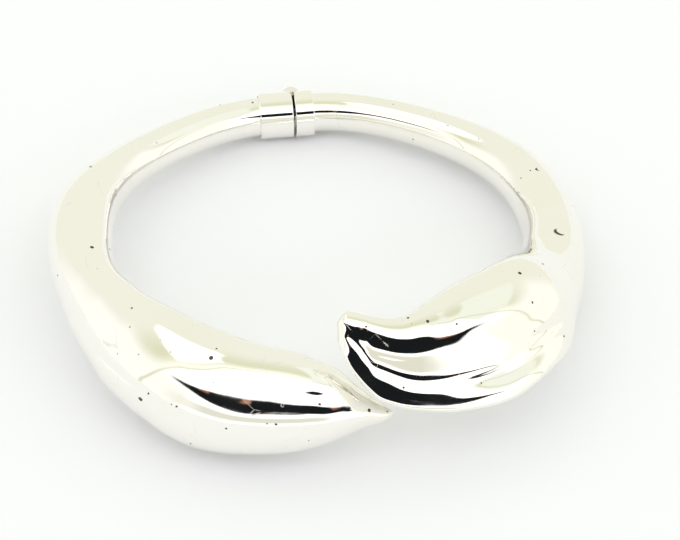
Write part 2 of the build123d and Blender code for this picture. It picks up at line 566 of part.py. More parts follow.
# ---------------------------------------------------------------- export
os.makedirs("parts", exist_ok=True)
left_arm_outer_shell.part.label = "left_arm_outer_shell"
export_step(left_arm_outer_shell.part, "parts/left_arm_outer_shell.step")
left_arm_inner_shell.part.label = "left_arm_inner_shell"
export_step(left_arm_inner_shell.part, "parts/left_arm_inner_shell.step")
left_collar.part.label = "left_collar"
export_step(left_collar.part, "parts/left_collar.step")
left_end_plug.part.label = "left_end_plug"
export_step(left_end_plug.part, "parts/left_end_plug.step")
left_knuckle_upper.part.label = "left_knuckle_upper"
export_step(left_knuckle_upper.part, "parts/left_knuckle_upper.step")
left_knuckle_lower.part.label = "left_knuckle_lower"
export_step(left_knuckle_lower.part, "parts/left_knuckle_lower.step")
left_spring_anchor_pin.part.label = "left_spring_anchor_pin"
export_step(left_spring_anchor_pin.part, "parts/left_spring_anchor_pin.step")
right_arm_outer_shell.part.label = "right_arm_outer_shell"
export_step(right_arm_outer_shell.part, "parts/right_arm_outer_shell.step")
right_arm_inner_shell.part.label = "right_arm_inner_shell"
export_step(right_arm_inner_shell.part, "parts/right_arm_inner_shell.step")
right_collar.part.label = "right_collar"
export_step(right_collar.part, "parts/right_collar.step")
right_end_plug.part.label = "right_end_plug"
export_step(right_end_plug.part, "parts/right_end_plug.step")
right_knuckle.part.label = "right_knuckle"
export_step(right_knuckle.part, "parts/right_knuckle.step")
right_spring_anchor_pin.part.label = "right_spring_anchor_pin"
export_step(right_spring_anchor_pin.part, "parts/right_spring_anchor_pin.step")
hinge_pin.part.label = "hinge_pin"
export_step(hinge_pin.part, "parts/hinge_pin.step")
closing_spring.part.label = "closing_spring"
export_step(closing_spring.part, "parts/closing_spring.step")
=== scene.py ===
import bpy, bmesh, math
import numpy as np
from mathutils import Vector, Matrix


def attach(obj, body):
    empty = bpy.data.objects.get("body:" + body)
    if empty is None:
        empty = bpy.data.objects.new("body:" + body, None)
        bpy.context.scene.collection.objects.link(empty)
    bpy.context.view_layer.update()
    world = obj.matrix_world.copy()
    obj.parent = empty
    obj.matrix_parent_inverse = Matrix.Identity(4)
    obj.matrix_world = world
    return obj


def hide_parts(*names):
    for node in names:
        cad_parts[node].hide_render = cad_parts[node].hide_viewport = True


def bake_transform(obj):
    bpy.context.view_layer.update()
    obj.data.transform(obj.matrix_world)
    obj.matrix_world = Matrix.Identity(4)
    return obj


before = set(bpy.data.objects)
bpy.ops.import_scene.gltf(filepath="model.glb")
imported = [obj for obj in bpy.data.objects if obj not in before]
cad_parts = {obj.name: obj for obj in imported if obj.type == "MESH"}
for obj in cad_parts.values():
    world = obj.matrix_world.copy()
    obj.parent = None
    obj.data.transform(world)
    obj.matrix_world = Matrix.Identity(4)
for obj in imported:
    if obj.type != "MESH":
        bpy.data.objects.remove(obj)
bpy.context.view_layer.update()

MM = 0.001
# ------------------------------------------------------------------ shape tables (mm, degrees)
A, B, POWER = 30.0, 27.98, 1.88
SHX, SHY, SHZ = 0.298, 0.264, -0.027
TUBE_D = 5.70
LEFT = [
    (19.05, 5.68, 5.68, 4.29, 1.68), (30.49, 5.83, 5.80, 4.99, 1.31), (41.92, 6.06, 5.99, 5.53, 1.30),
    (53.35, 6.70, 6.65, 6.41, 0.91), (64.78, 7.85, 7.84, 7.73, -0.27), (76.22, 8.80, 8.60, 8.83, -1.42),
    (87.65, 8.96, 8.60, 9.06, -1.80), (99.08, 8.78, 9.44, 8.71, -1.82), (110.51, 9.07, 12.55, 8.75, -1.83),
    (121.95, 10.08, 16.78, 9.48, -1.51), (133.38, 11.17, 19.18, 9.81, -0.88), (144.81, 11.31, 19.69, 9.87, 0.01),
    (156.24, 10.05, 18.90, 9.91, 0.70), (165.77, 7.94, 17.55, 9.69, 0.74), (173.39, 5.40, 15.02, 7.94, 0.70),
    (180.06, 2.81, 9.08, 5.10, 0.80), (185.78, 1.85, 3.80, 3.36, 1.00), (190.54, 1.47, 1.75, 3.34, 1.40),
    (191.60, 0.80, 0.90, 3.36, 1.78)]
RIGHT = [
    (18.07, 5.57, 5.52, 3.86, 1.89), (28.92, 5.78, 5.80, 4.25, 1.52), (39.76, 6.08, 6.21, 4.33, 1.45),
    (50.61, 6.57, 6.50, 4.47, 1.26), (61.45, 7.30, 6.87, 4.93, 0.56), (72.30, 7.71, 7.67, 5.30, -0.32),
    (83.14, 7.80, 9.08, 5.50, -1.11), (93.99, 8.50, 10.90, 6.27, -2.05), (104.83, 9.14, 12.51, 6.95, -2.49),
    (115.68, 9.09, 14.72, 7.60, -1.71), (126.52, 10.97, 19.31, 10.53, -1.16), (137.37, 13.15, 22.00, 13.27, -1.33),
    (148.21, 11.93, 20.55, 12.82, -1.29), (157.25, 8.80, 18.85, 12.31, -1.06), (164.48, 6.14, 17.31, 12.66, -0.97),
    (170.81, 4.32, 15.60, 14.40, -0.69), (176.23, 3.16, 12.50, 17.56, 0.01), (180.75, 2.41, 7.91, 21.55, 1.04),
    (182.60, 1.30, 3.60, 22.40, 1.60)]


def ramp(t):
    t = np.clip(t, 0, 1)
    return t * t * (3 - 2 * t)


def guide(a):
    s, c = np.sin(a), np.cos(a)
    r = 1 / (np.abs(s / A) ** POWER + np.abs(c / B) ** POWER) ** (1 / POWER)
    return -r * s, r * c


def guide_normal(a):
    x, y = guide(a)
    x1, y1 = guide(a + 0.004)
    x0, y0 = guide(a - 0.004)
    dx, dy = x1 - x0, y1 - y0
    ln = np.hypot(dx, dy)
    nx, ny = dy / ln, -dx / ln
    s = np.sign(nx * x + ny * y)
    return x, y, nx * s, ny * s


def smooth_curve(xk, yk, x, lam=2.0):
    """penalised spline through the table rows, so that reflections run without kinks"""
    m = 241
    g = np.linspace(xk[0], xk[-1], m)
    w = np.zeros((len(xk), m))
    for i, v in enumerate(xk):
        j = min(int((v - g[0]) / (g[1] - g[0])), m - 2)
        t = (v - g[j]) / (g[1] - g[0])
        w[i, j], w[i, j + 1] = 1 - t, t
    d = np.diff(np.eye(m), 3, axis=0) * lam * 30
    wt = np.ones(len(xk))
    wt[:2] = 6
    wt[-6:] = 6
    wt[-3:] = 15
    a_ = np.vstack([w * wt[:, None], d])
    b_ = np.concatenate([np.array(yk) * wt, np.zeros(m - 3)])
    f = np.linalg.lstsq(a_, b_, rcond=None)[0]
    return np.interp(x, g, f)


# leaf profiles: surface tilt (degrees) against the position angle across the leaf, at stations along the arm.
# position -90 is the lower edge, +90 the upper edge; tilt is measured from the direction (cos 43, sin 43)
VIEW = math.radians(43.0)
LEAF_L = {
    0.40: [(-90, -90), (-72, -72), (-58, -58), (-44, -44), (-32, -32), (-25, -25), (-20, -20), (-15, -15), (-8, -8), (-1, -1), (6, 6), (17, 17), (34, 34), (44, 44), (58, 58), (72, 72), (90, 90)],
    0.62: [(-90, -90), (-72, -68), (-58, -50), (-44, -34), (-34, -12), (-30, -8), (-26, -18), (-21, -16), (-14, -9), (-7, -4), (0, 1), (14, 10), (32, 23), (44, 33), (58, 47), (72, 64), (90, 90)],
    0.77: [(-90, -90), (-72, -68), (-58, -48), (-44, -33), (-34, -26), (-24, -20), (-17, -13), (-11, -5), (-5, -1), (1, 2), (8, 6), (18, 12), (34, 22), (44, 32), (58, 46), (72, 62), (90, 90)],
    0.83: [(-90, -90), (-72, -70), (-58, -50), (-44, -36), (-32, -27), (-25, -20), (-20, -13), (-15, -5), (-8, -2), (-1, 2), (6, 5), (17, 11), (34, 21), (44, 31), (58, 45), (72, 62), (90, 90)],
    0.895: [(-90, -90), (-72, -70), (-58, -50), (-44, -36), (-32, -26), (-25, -20), (-20, -13), (-15, -5), (-10, -2), (-5, 2), (1, 6), (8, 7.5), (13, 5), (16, 3.6), (20, 9), (34, 24), (44, 33), (58, 47), (72, 64), (90, 90)],
    0.935: [(-90, -90), (-72, -70), (-58, -52), (-44, -38), (-34, -30), (-28, -22), (-22, -12), (-19, -5), (-16, -1), (-13, 4), (-6, 6.5), (0, 8), (6, 9), (12, 10), (18, 12.5), (25, 17), (34, 24), (44, 36), (58, 50), (72, 66), (90, 90)],
    0.97: [(-90, -90), (-72, -70), (-58, -54), (-44, -40), (-34, -30), (-28, -24), (-24, -18), (-20, -10), (-16, -3), (-12, 4), (0, 9), (17, 20), (34, 32), (44, 41), (58, 54), (72, 68), (90, 90)],
    1.00: [(-90, -90), (-72, -70), (-58, -54), (-44, -40), (-34, -30), (-28, -24), (-24, -18), (-20, -12), (-16, -6), (-12, 0), (0, 9), (17, 22), (34, 34), (44, 42), (58, 54), (72, 68), (90, 90)],
}
LEAF_R = {
    0.42: [(-90, -90), (-68, -68), (-61, -61), (-54, -54), (-51, -51), (-44, -44), (-37, -37), (-29, -29), (-26, -26), (-22, -22), (-19, -19), (-16, -16), (-11, -11), (-5, -5), (2, 2), (11, 11), (20, 20), (27, 27), (37, 37), (48, 48), (67, 67), (90, 90)],
    0.66: [(-90, -90), (-76, -68), (-68, -56), (-58, -47), (-48, -38), (-38, -29), (-28, -21), (-18, -13), (-8, -6), (2, 1), (12, 8), (24, 17), (36, 26), (50, 40), (68, 60), (90, 90)],
    0.80: [(-90, -90), (-74, -50), (-68, -14), (-64, -5), (-60, 2), (-52, 9), (-46, 14), (-38, 12), (-34, 1), (-30, 7), (-26, 5), (-23, -3), (-19, -11), (-14, -14), (-9, -11), (-4, -5), (4, -2), (13, 2.5), (24, 12), (42, 28), (64, 50), (90, 90)],
    0.845: [(-90, -90), (-74, -36), (-66, -8), (-61, -4), (-54, 2), (-47, 11), (-38, 16), (-31, 10), (-27, 0), (-24, 7), (-21.5, 5), (-19, -2), (-16, -9), (-11, -14), (-5, -12), (0, -5), (9, -1), (19, 2.5), (27, 10), (42, 24), (64, 48), (90, 90)],
    0.90: [(-90, -90), (-78, -50), (-70, -14), (-66, -6), (-54, -2), (-40, 2), (-35, 9), (-29, 14), (-24, 9), (-20, 2), (-16, -2), (-12, -6), (-8, -11), (-1, -14), (5, -12), (11, -5), (20, -1), (31, 2.5), (38, 9), (50, 24), (66, 46), (90, 90)],
    0.96: [(-90, -90), (-80, -45), (-74, -12), (-68, -5), (-48, -1), (-30, 2), (-24, 8), (-19, 10), (-15, 6), (-11, 1), (-7, -3), (-4, -6), (0, -10), (6, -11), (10, -8), (14, -4), (26, -1), (38, 2.5), (45, 9), (55, 24), (66, 44), (78, 66), (90, 90)],
    0.97: [(-90, -90), (-78, -45), (-71, -11), (-65, -5), (-41, -1), (-20, 2), (-15, 7), (-10, 9), (-5, 6), (-1, 1), (3, -2), (8, -5), (12, -5), (18, -2), (30, 0), (37, 2.5), (43, 9), (53, 24), (65, 43), (78, 66), (90, 90)],
    0.98: [(-90, -90), (-76, -45), (-69, -10), (-63, -5), (-35, -1), (-12, 2), (-6, 6), (-1, 8), (4, 5), (8, 1), (20, -2), (34, 2), (42, 9), (52, 24), (64, 42), (78, 66), (90, 90)],
    1.00: [(-90, -90), (-74, -45), (-65, -10), (-59, -4), (-20, -1.5), (0, -1), (20, 0), (31, 2.5), (40, 12), (52, 28), (64, 44), (78, 66), (90, 90)],
}
# what the rims stand out beyond the tables: key fraction, upper rim, lower rim
RIM = {"left": [(0.0, 0, 0), (0.56, 0, 0), (0.60, -0.2, 0.5), (0.626, -0.5, 0.9), (0.654, -0.6, 0.95), (0.68, -0.5, 1.1), (0.71, -0.4, 1.1), (0.745, -0.25, 0.6), (0.784, -0.15, 0.1), (0.822, -0.4, 0), (0.85, -0.6, 0), (0.878, -0.5, 0.1), (0.902, -0.1, 0.35), (0.93, 1.5, 0.65), (0.95, 2.3, 0.75), (0.965, 2.4, 0.75), (0.98, 1.8, 0.6), (0.99, 1.15, 0.5), (1.0, 0.5, 0.3)],
       "right": [(0.0, 0, 0), (0.56, 0, 0), (0.60, 0.3, 0.3), (0.626, 0.65, 0.9), (0.654, 0.9, 1.6), (0.682, 0.65, 2.2), (0.71, 0.2, 2.6), (0.738, -0.1, 2.8), (0.766, -0.15, 2.7), (0.794, 0.15, 1.9), (0.822, 0.45, 0.9), (0.863, 0.1, 0.25), (0.878, -0.3, 0), (0.906, -1.0, -0.4), (0.941, -1.25, -1.5), (0.963, -1.57, -2.5), (0.98, -1.7, -2.75), (0.99, -1.4, -2.7), (1.0, -1.0, -2.9)]}
NOSE = {"left": (0.988, 0.6), "right": (0.984, 1.1)}
NQ = 801
TQ = np.linspace(-90, 90, NQ)


def hermite(xk, yk, x):
    """monotone cubic through knots"""
    xk = np.asarray(xk, float)
    yk = np.asarray(yk, float)
    h = np.diff(xk)
    d = np.diff(yk) / h
    m = np.zeros(len(xk))
    for i in range(1, len(xk) - 1):
        if d[i - 1] * d[i] > 0:
            w1, w2 = 2 * h[i] + h[i - 1], h[i] + 2 * h[i - 1]
            m[i] = (w1 + w2) / (w1 / d[i - 1] + w2 / d[i])
    m[0], m[-1] = d[0], d[-1]
    i = np.clip(np.searchsorted(xk, x) - 1, 0, len(xk) - 2)
    t = (x - xk[i]) / h[i]
    return ((2 * t ** 3 - 3 * t ** 2 + 1) * yk[i] + (t ** 3 - 2 * t ** 2 + t) * h[i] * m[i]
            + (-2 * t ** 3 + 3 * t ** 2) * yk[i + 1] + (t ** 3 - t ** 2) * h[i] * m[i + 1])


def profile_curves(table):
    """for each key station, depth across the leaf divided by its half width, as a function of TQ"""
    ks = sorted(table)
    out = []
    for k in ks:
        t = np.array([v[0] for v in table[k]], float)
        d = np.array([v[1] for v in table[k]], float)
        dev = hermite(t, d - t, TQ)
        dev = np.convolve(np.pad(dev, 12, mode="edge"), np.hanning(25) / np.hanning(25).sum(), "valid")
        dev *= np.minimum(1, (90 - np.abs(TQ)) / 6)
        tilt = np.radians(np.clip(TQ + dev, -89.9, 89.9))
        c = np.cos(np.radians(TQ))
        f = np.where(np.abs(TQ) > 89.5, np.sign(TQ), np.tan(tilt) * c)
        f = np.clip(f, -3, 3)
        step = np.radians(TQ[1] - TQ[0])
        q = -np.concatenate([[0], np.cumsum((f[1:] + f[:-1]) / 2 * step)])
        out.append(q)
    return np.array(ks), np.array(out)


PROFILE = {"left": profile_curves(LEAF_L), "right": profile_curves(LEAF_R)}
BLEND = {"left": (0.40, 0.66), "right": (0.42, 0.72)}
BACK_DEPTH = {"left": 0.80, "right": 0.62}
CREST = {"left": [(0.38, 12.6), (0.48, 12.1), (0.55, 12.0), (0.60, 12.5), (0.65, 13.3), (0.70, 14.1), (0.75, 14.6), (0.79, 14.75), (0.83, 14.55), (0.87, 13.9), (0.91, 12.9), (0.95, 11.5), (1.0, 9.6)],
         "right": [(0.40, 9.9), (0.50, 10.3), (0.56, 11.3), (0.62, 13.2), (0.67, 15.0), (0.71, 16.2), (0.75, 16.8), (0.79, 17.0), (0.84, 16.9), (0.88, 16.6), (0.92, 16.1), (0.96, 15.6), (1.0, 14.9)]}
N_FRONT, N_BACK = 150, 60


def sections(a, b, frac, side, q0):
    """outline (outward, up) of every section; a, b half sizes of the plain ellipse with the same outline seen from the front"""
    ca, sa = math.cos(VIEW), math.sin(VIEW)
    P = np.sqrt((sa * a) ** 2 + (ca * b) ** 2)
    rk, r1, r0 = zip(*RIM[side])
    r1, r0 = hermite(rk, r1, frac), hermite(rk, r0, frac)
    kap = sa * ca * (b * b - a * a) / P
    lam = a * b / P
    ks, cur = PROFILE[side]
    t = np.linspace(-90, 90, N_FRONT)
    w = ramp((frac - BLEND[side][0]) / (BLEND[side][1] - BLEND[side][0]))
    q_all = np.array([np.interp(t, TQ, c) for c in cur])
    prof = np.array([hermite(ks, q_all[:, j], np.clip(frac, ks[0], ks[-1])) for j in range(len(t))]).T
    ps = np.sin(np.radians(t))
    mid = prof[:, np.abs(t) < 30].mean(1) + 0.03
    front_e = kap[:, None] * ps + lam[:, None] * np.cos(np.radians(t))
    crest_q = front_e.max(1) * 0.86
    P1, pc = P + (r1 - r0) / 2, (r1 + r0) / 2
    # rounded nose
    nose = np.clip((frac - NOSE[side][0]) / (1 - NOSE[side][0]), 0, 1)
    P1 = P1 * np.sqrt(1 - 0.8 * nose ** 2)
    prof_q = P1[:, None] * (prof - mid[:, None]) + crest_q[:, None]
    # the crest is to stand at a set height above the guide line; lift is what is missing (q0 is the section's centre)
    ck, cv = zip(*CREST[side])
    lift = w * (hermite(ck, cv, np.clip(frac, ck[0], ck[-1])) - q0 - crest_q)
    lift = lift - NOSE[side][1] * (1 - np.sqrt(1 - 0.97 * nose ** 2))
    front = front_e * (1 - w[:, None]) + prof_q * w[:, None]
    tb = np.linspace(90, -90, N_BACK + 2)[1:-1]
    pb = np.sin(np.radians(tb))
    qt, qb = front[:, -1], front[:, 0]
    chord = (qt + qb)[:, None] / 2 + (qt - qb)[:, None] / 2 * pb
    depth = lam * (1 - w) + BACK_DEPTH[side] * P1 * w
    backq = chord - depth[:, None] * np.cos(np.radians(tb))
    p = np.concatenate([np.repeat(ps[None], len(a), 0), np.repeat(pb[None], len(a), 0)], 1) * P1[:, None] + pc[:, None]
    q = np.concatenate([front, backq], 1)
    return ca * q - sa * p, ca * p + sa * q, lift


def arm_grid(rows, side, n_s=420):
    rows = np.array(rows)
    # two straight rows inside the collar come first
    x0 = 3.3
    lead = np.array([(x0, TUBE_D, TUBE_D, 3.40, 0), (x0 + 4.0, TUBE_D, TUBE_D, 3.42, 0)])
    gx, gy, _, _ = guide_normal(np.radians(0.0))
    tube_y = gy + TUBE_D / 2 + 2.32
    ang = np.concatenate([lead[:, 0], rows[:, 0]])
    cols = []
    last = ang[0] + (ang[-1] - ang[0]) * 0.975
    xs = np.concatenate([np.linspace(ang[0], last, n_s - 40),
                         last + (ang[-1] - last) * np.sin(np.linspace(0, math.pi / 2, 41)[1:])])
    full = []
    for k in range(5):
        full.append(np.concatenate([lead[:, k], rows[:, k]]))
    # offset of the lead rows keeps the tube straight
    for i in (0, 1):
        x, y, nx, ny = guide_normal(np.radians(full[0][i]))
        full[4][i] = (tube_y - y) / ny - TUBE_D / 2
    t_, h_, z_, o_ = (smooth_curve(full[0], full[k], xs, 4.0 if k < 4 else 8.0) for k in (1, 2, 3, 4))
    x, y, nx, ny = guide_normal(np.radians(xs))
    frac = xs / xs[-1]
    cx = x + nx * (t_ / 2 + o_)
    cy = y + ny * (t_ / 2 + o_)
    q0 = math.cos(VIEW) * (t_ / 2 + o_) + math.sin(VIEW) * z_
    u, w, lift = sections(t_ / 2, h_ / 2, frac, side, q0)
    px = cx[:, None] + nx[:, None] * u
    py = cy[:, None] + ny[:, None] * u
    pz = z_[:, None] + w
    if side == "right":
        px, nx = -px, -nx
    # lift along one fixed slanting direction, so that the outline seen from there stays as tabled
    la, le = math.radians(-6.73), VIEW
    d = np.array([math.sin(la) * math.cos(le), -math.cos(la) * math.cos(le), math.sin(le)])
    along = math.cos(le) ** 2 * (nx * math.sin(la) - ny * math.cos(la)) + math.sin(le) ** 2
    k = (lift / along)[:, None]
    p = np.stack([px + SHX + k * d[0], py + SHY + k * d[1], pz + SHZ + k * d[2]], -1)
    p[..., 2] = np.maximum(p[..., 2], 0.02)
    return p


def grid_object(name, p, flip):
    n, m = p.shape[:2]
    start = p[0].mean(0)
    end = p[-1].mean(0) + (p[-1].mean(0) - p[-2].mean(0)) * 0.5
    verts = np.concatenate([p.reshape(-1, 3), [start], [end]]) * MM
    faces = []
    for i in range(n - 1):
        for j in range(m):
            a, b = i * m + j, i * m + (j + 1) % m
            c, d = a + m, b + m
            faces.append((a, b, d, c) if not flip else (a, c, d, b))
    k0, k1 = n * m, n * m + 1
    for j in range(m):
        a, b = j, (j + 1) % m
        faces.append((k0, b, a) if not flip else (k0, a, b))
        a, b = (n - 1) * m + j, (n - 1) * m + (j + 1) % m
        faces.append((k1, a, b) if not flip else (k1, b, a))
    me = bpy.data.meshes.new(name)
    me.from_pydata(verts.tolist(), [], faces)
    me.update()
    for poly in me.polygons:
        poly.use_smooth = True
    ob = bpy.data.objects.new(name, me)
    bpy.context.scene.collection.objects.link(ob)
    return ob


# ------------------------------------------------------------------ marks on the metal: arm, share of length, position across, radius (mm), bite
MARK_TABLE = [("right", 0.55, 42, 0.85, (0.42, 0.30, 0.12)), ("left", 0.78, 34, 0.30, None), ("right", 0.74, 44, 0.28, None),
              ("left", 0.968, -8, 0.26, None), ("right", 0.40, 38, 0.42, (0.25, 0.1, 0.1)), ("left", 0.33, 30, 0.34, (0.2, 0.1, 0.1)),
              ("left", 0.50, 62, 0.30, None), ("right", 0.88, 48, 0.24, None)]
ROW_FRAC = {}
for side_, rows_ in (("left", LEFT), ("right", RIGHT)):
    a0_, a1_ = 3.3, rows_[-1][0]
    last_ = a0_ + (a1_ - a0_) * 0.975
    ROW_FRAC[side_] = np.concatenate([np.linspace(a0_, last_, 380), last_ + (a1_ - last_) * np.sin(np.linspace(0, math.pi / 2, 41)[1:])]) / a1_

# ------------------------------------------------------------------ materials
def new_mat(name):
    m = bpy.data.materials.new(name)
    m.use_nodes = True
    nt = m.node_tree
    bs = nt.nodes["Principled BSDF"]
    return m, nt, bs


def silver(name, base=(0.95, 0.935, 0.89), rough=0.045, marks=()):
    m, nt, bs = new_mat(name)
    N, L = nt.nodes.new, nt.links.new
    bs.inputs["Metallic"].default_value = 1.0
    tc = N("ShaderNodeTexCoord")
    obj = tc.outputs["Object"]

    def math_(op, a_, b_=None, clamp=False):
        n = N("ShaderNodeMath"); n.operation = op; n.use_clamp = clamp
        for i, v in enumerate((a_, b_)):
            if isinstance(v, (int, float)):
                n.inputs[i].default_value = v
            elif v is not None:
                L(v, n.inputs[i])
        return n.outputs[0]

    def step(v, lo, hi, t0=0.0, t1=1.0):
        n = N("ShaderNodeMapRange"); n.interpolation_type = "SMOOTHSTEP"
        L(v, n.inputs["Value"])
        for key, val in (("From Min", lo), ("From Max", hi), ("To Min", t0), ("To Max", t1)):
            n.inputs[key].default_value = val
        return n.outputs["Result"]

    def noise(scale, detail=3.0, stretch=None, rough_=0.5):
        n = N("ShaderNodeTexNoise")
        n.inputs["Scale"].default_value = scale; n.inputs["Detail"].default_value = detail
        n.inputs["Roughness"].default_value = rough_
        if stretch:
            mp = N("ShaderNodeMapping"); mp.inputs["Scale"].default_value = stretch
            mp.inputs["Rotation"].default_value = (0.3, 0.5, 0.7)
            L(obj, mp.inputs["Vector"]); L(mp.outputs["Vector"], n.inputs["Vector"])
        else:
            L(obj, n.inputs["Vector"])
        return n.outputs["Fac"]

    # pits, in two sizes
    def pits(scale, share, radius):
        vor = N("ShaderNodeTexVoronoi"); vor.inputs["Scale"].default_value = scale
        wob = N("ShaderNodeTexNoise"); wob.inputs["Scale"].default_value = scale * 3
        L(obj, wob.inputs["Vector"])
        add = N("ShaderNodeVectorMath"); add.operation = "MULTIPLY_ADD"
        L(wob.outputs["Color"], add.inputs[0]); add.inputs[1].default_value = (0.22 / scale,) * 3; L(obj, add.inputs[2])
        L(add.outputs[0], vor.inputs["Vector"])
        sel = N("ShaderNodeSeparateColor"); L(vor.outputs["Color"], sel.inputs["Color"])
        return math_("MULTIPLY", step(vor.outputs["Distance"], radius * 0.55, radius, 1.0, 0.0), math_("LESS_THAN", sel.outputs["Red"], share))

    pit = math_("ADD", pits(480, 0.60, 0.095), pits(230, 0.30, 0.065), True)
    # hair scratches: thin creases of a distorted cell pattern, only in patches
    vor = N("ShaderNodeTexVoronoi"); vor.feature = "DISTANCE_TO_EDGE"; vor.inputs["Scale"].default_value = 210
    mp = N("ShaderNodeMapping"); mp.inputs["Scale"].default_value = (1.0, 0.35, 1.6); mp.inputs["Rotation"].default_value = (0.4, 0.2, 0.9)
    L(obj, mp.inputs["Vector"]); L(mp.outputs["Vector"], vor.inputs["Vector"])
    hair = math_("MULTIPLY", step(vor.outputs["Distance"], 0.002, 0.010, 1.0, 0.0), step(noise(230, 2), 0.56, 0.66))
    # marks at given places: (centre, radius, bite) with bite the offset of the disc cut out of it
    dark = pit
    for centre, radius, bite in marks:
        def disc(c, r):
            d = N("ShaderNodeVectorMath"); d.operation = "DISTANCE"
            L(obj, d.inputs[0]); d.inputs[1].default_value = c
            return step(d.outputs["Value"], r * 0.8, r, 1.0, 0.0)
        k = disc(centre, radius)
        if bite:
            k = math_("MULTIPLY", k, math_("SUBTRACT", 1.0, disc(tuple(centre[i] + bite[i] for i in range(3)), radius * 0.95)))
        dark = math_("MAXIMUM", dark, k)
    tarnish = step(noise(38, 4), 0.42, 0.72, 0.0, 0.55)
    mix0 = N("ShaderNodeMix"); mix0.data_type = "RGBA"
    mix0.inputs["A"].default_value = (*base, 1)
    mix0.inputs["B"].default_value = (base[0] * 0.965, base[1] * 0.96, base[2] * 0.90, 1)
    L(tarnish, mix0.inputs["Factor"])
    mix1 = N("ShaderNodeMix"); mix1.data_type = "RGBA"
    L(math_("MULTIPLY", hair, 0.20), mix1.inputs["Factor"]); L(mix0.outputs["Result"], mix1.inputs["A"])
    mix1.inputs["B"].default_value = (0.40, 0.38, 0.30, 1)
    mix = N("ShaderNodeMix"); mix.data_type = "RGBA"
    L(dark, mix.inputs["Factor"]); L(mix1.outputs["Result"], mix.inputs["A"])
    mix.inputs["B"].default_value = (0.09, 0.08, 0.055, 1)
    L(mix.outputs["Result"], bs.inputs["Base Color"])
    ro = step(noise(140, 4), 0.35, 0.75, rough * 0.6, rough * 1.8)
    ro = math_("ADD", ro, math_("MULTIPLY", math_("MAXIMUM", dark, hair), 0.3), True)
    L(ro, bs.inputs["Roughness"])
    # hand-polished waviness, fine wiping marks, and the depth of the pits
    b1 = N("ShaderNodeBump"); b1.inputs["Distance"].default_value = 2.2e-5
    L(noise(110, 2), b1.inputs["Height"])
    b2 = N("ShaderNodeBump"); b2.inputs["Distance"].default_value = 1.6e-6
    L(noise(900, 3, (1.0, 0.25, 2.0)), b2.inputs["Height"]); L(b1.outputs["Normal"], b2.inputs["Normal"])
    b3 = N("ShaderNodeBump"); b3.inputs["Distance"].default_value = 6e-5; b3.invert = True
    L(dark, b3.inputs["Height"]); L(b2.outputs["Normal"], b3.inputs["Normal"])
    L(b3.outputs["Normal"], bs.inputs["Normal"])
    return m


GRID = {"left": arm_grid(LEFT, "left"), "right": arm_grid(RIGHT, "right")}


def spot(side, frac, t):
    """a point on an arm: share of its length, position angle across the front"""
    g = GRID[side]
    # share of the length to the nearest row
    rows = LEFT if side == "left" else RIGHT
    i = int(np.argmin(np.abs(ROW_FRAC[side] - frac)))
    j = int(round((t + 90) / 180 * (N_FRONT - 1)))
    return tuple(float(v) * MM for v in g[i, j])


MARKS = []
for side, frac, t, r, bite in MARK_TABLE:
    MARKS.append((spot(side, frac, t), r * MM, tuple(v * MM for v in bite) if bite else None))
SILVER = silver("silver_polished", marks=MARKS)
HINGE = silver("silver_hinge", (0.90, 0.88, 0.83), 0.09)
STEEL = silver("spring_wire", (0.62, 0.62, 0.61), 0.22)

left = grid_object("left_arm", GRID["left"], False)
right = grid_object("right_arm", GRID["right"], True)
for ob, body, nodes in ((left, "fixed_arm", ("left_arm_outer_shell", "left_arm_inner_shell")),
                        (right, "swinging_arm", ("right_arm_outer_shell", "right_arm_inner_shell"))):
    ob.data.materials.append(SILVER)
    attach(ob, body)
    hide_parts(*nodes)

node_mat = {"left_collar": SILVER, "right_collar": SILVER, "left_end_plug": HINGE, "right_end_plug": HINGE,
            "left_knuckle_upper": HINGE, "left_knuckle_lower": HINGE, "right_knuckle": HINGE, "hinge_pin": HINGE,
            "closing_spring": STEEL, "left_spring_anchor_pin": STEEL, "right_spring_anchor_pin": STEEL}
for name, mat in node_mat.items():
    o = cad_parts[name]
    o.data.materials.clear()
    o.data.materials.append(mat)

# the spring wire: a smooth-shaded steel copy of the CAD spring with its transform baked in; it is not attached to
# either arm
wire_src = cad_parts["closing_spring"]
wire = bpy.data.objects.new("closing_spring_wire", wire_src.data.copy())
bpy.context.scene.collection.objects.link(wire)
wire.data.materials.clear()
wire.data.materials.append(STEEL)
for poly in wire.data.polygons:
    poly.use_smooth = True
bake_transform(wire)
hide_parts("closing_spring")

# ------------------------------------------------------------------ floor, light, camera
def stage_mesh(name, verts, faces, mat):
    me = bpy.data.meshes.new(name)
    me.from_pydata(verts, [], faces)
    ob = bpy.data.objects.new(name, me)
    bpy.context.scene.collection.objects.link(ob)
    ob.data.materials.append(mat)
    return ob


floor_mat, nt, bs = new_mat("floor_paper")
bs.inputs["Base Color"].default_value = (0.945, 0.955, 1.0, 1)
bs.inputs["Roughness"].default_value = 0.7
bs.inputs["Specular IOR Level"].default_value = 0.1
stage_mesh("floor", [(-1.5, -1.5, 0), (1.5, -1.5, 0), (1.5, 1.5, 0), (-1.5, 1.5, 0)], [(0, 1, 2, 3)], floor_mat)

world = bpy.data.worlds.new("studio")
bpy.context.scene.world = world
world.use_nodes = True
wn = world.node_tree
WN, WL = wn.nodes.new, wn.links.new
bg = wn.nodes["Background"]
bg.inputs["Strength"].default_value = 1.62
tc = WN("ShaderNodeTexCoord")
sep = WN("ShaderNodeSeparateXYZ")
WL(tc.outputs["Generated"], sep.inputs["Vector"])


def wmath(op, a_, b_=None, clamp=False):
    n = WN("ShaderNodeMath"); n.operation = op; n.use_clamp = clamp
    for i, v in enumerate((a_, b_)):
        if v is None:
            continue
        if isinstance(v, (int, float)):
            n.inputs[i].default_value = v
        else:
            WL(v, n.inputs[i])
    return n.outputs[0]


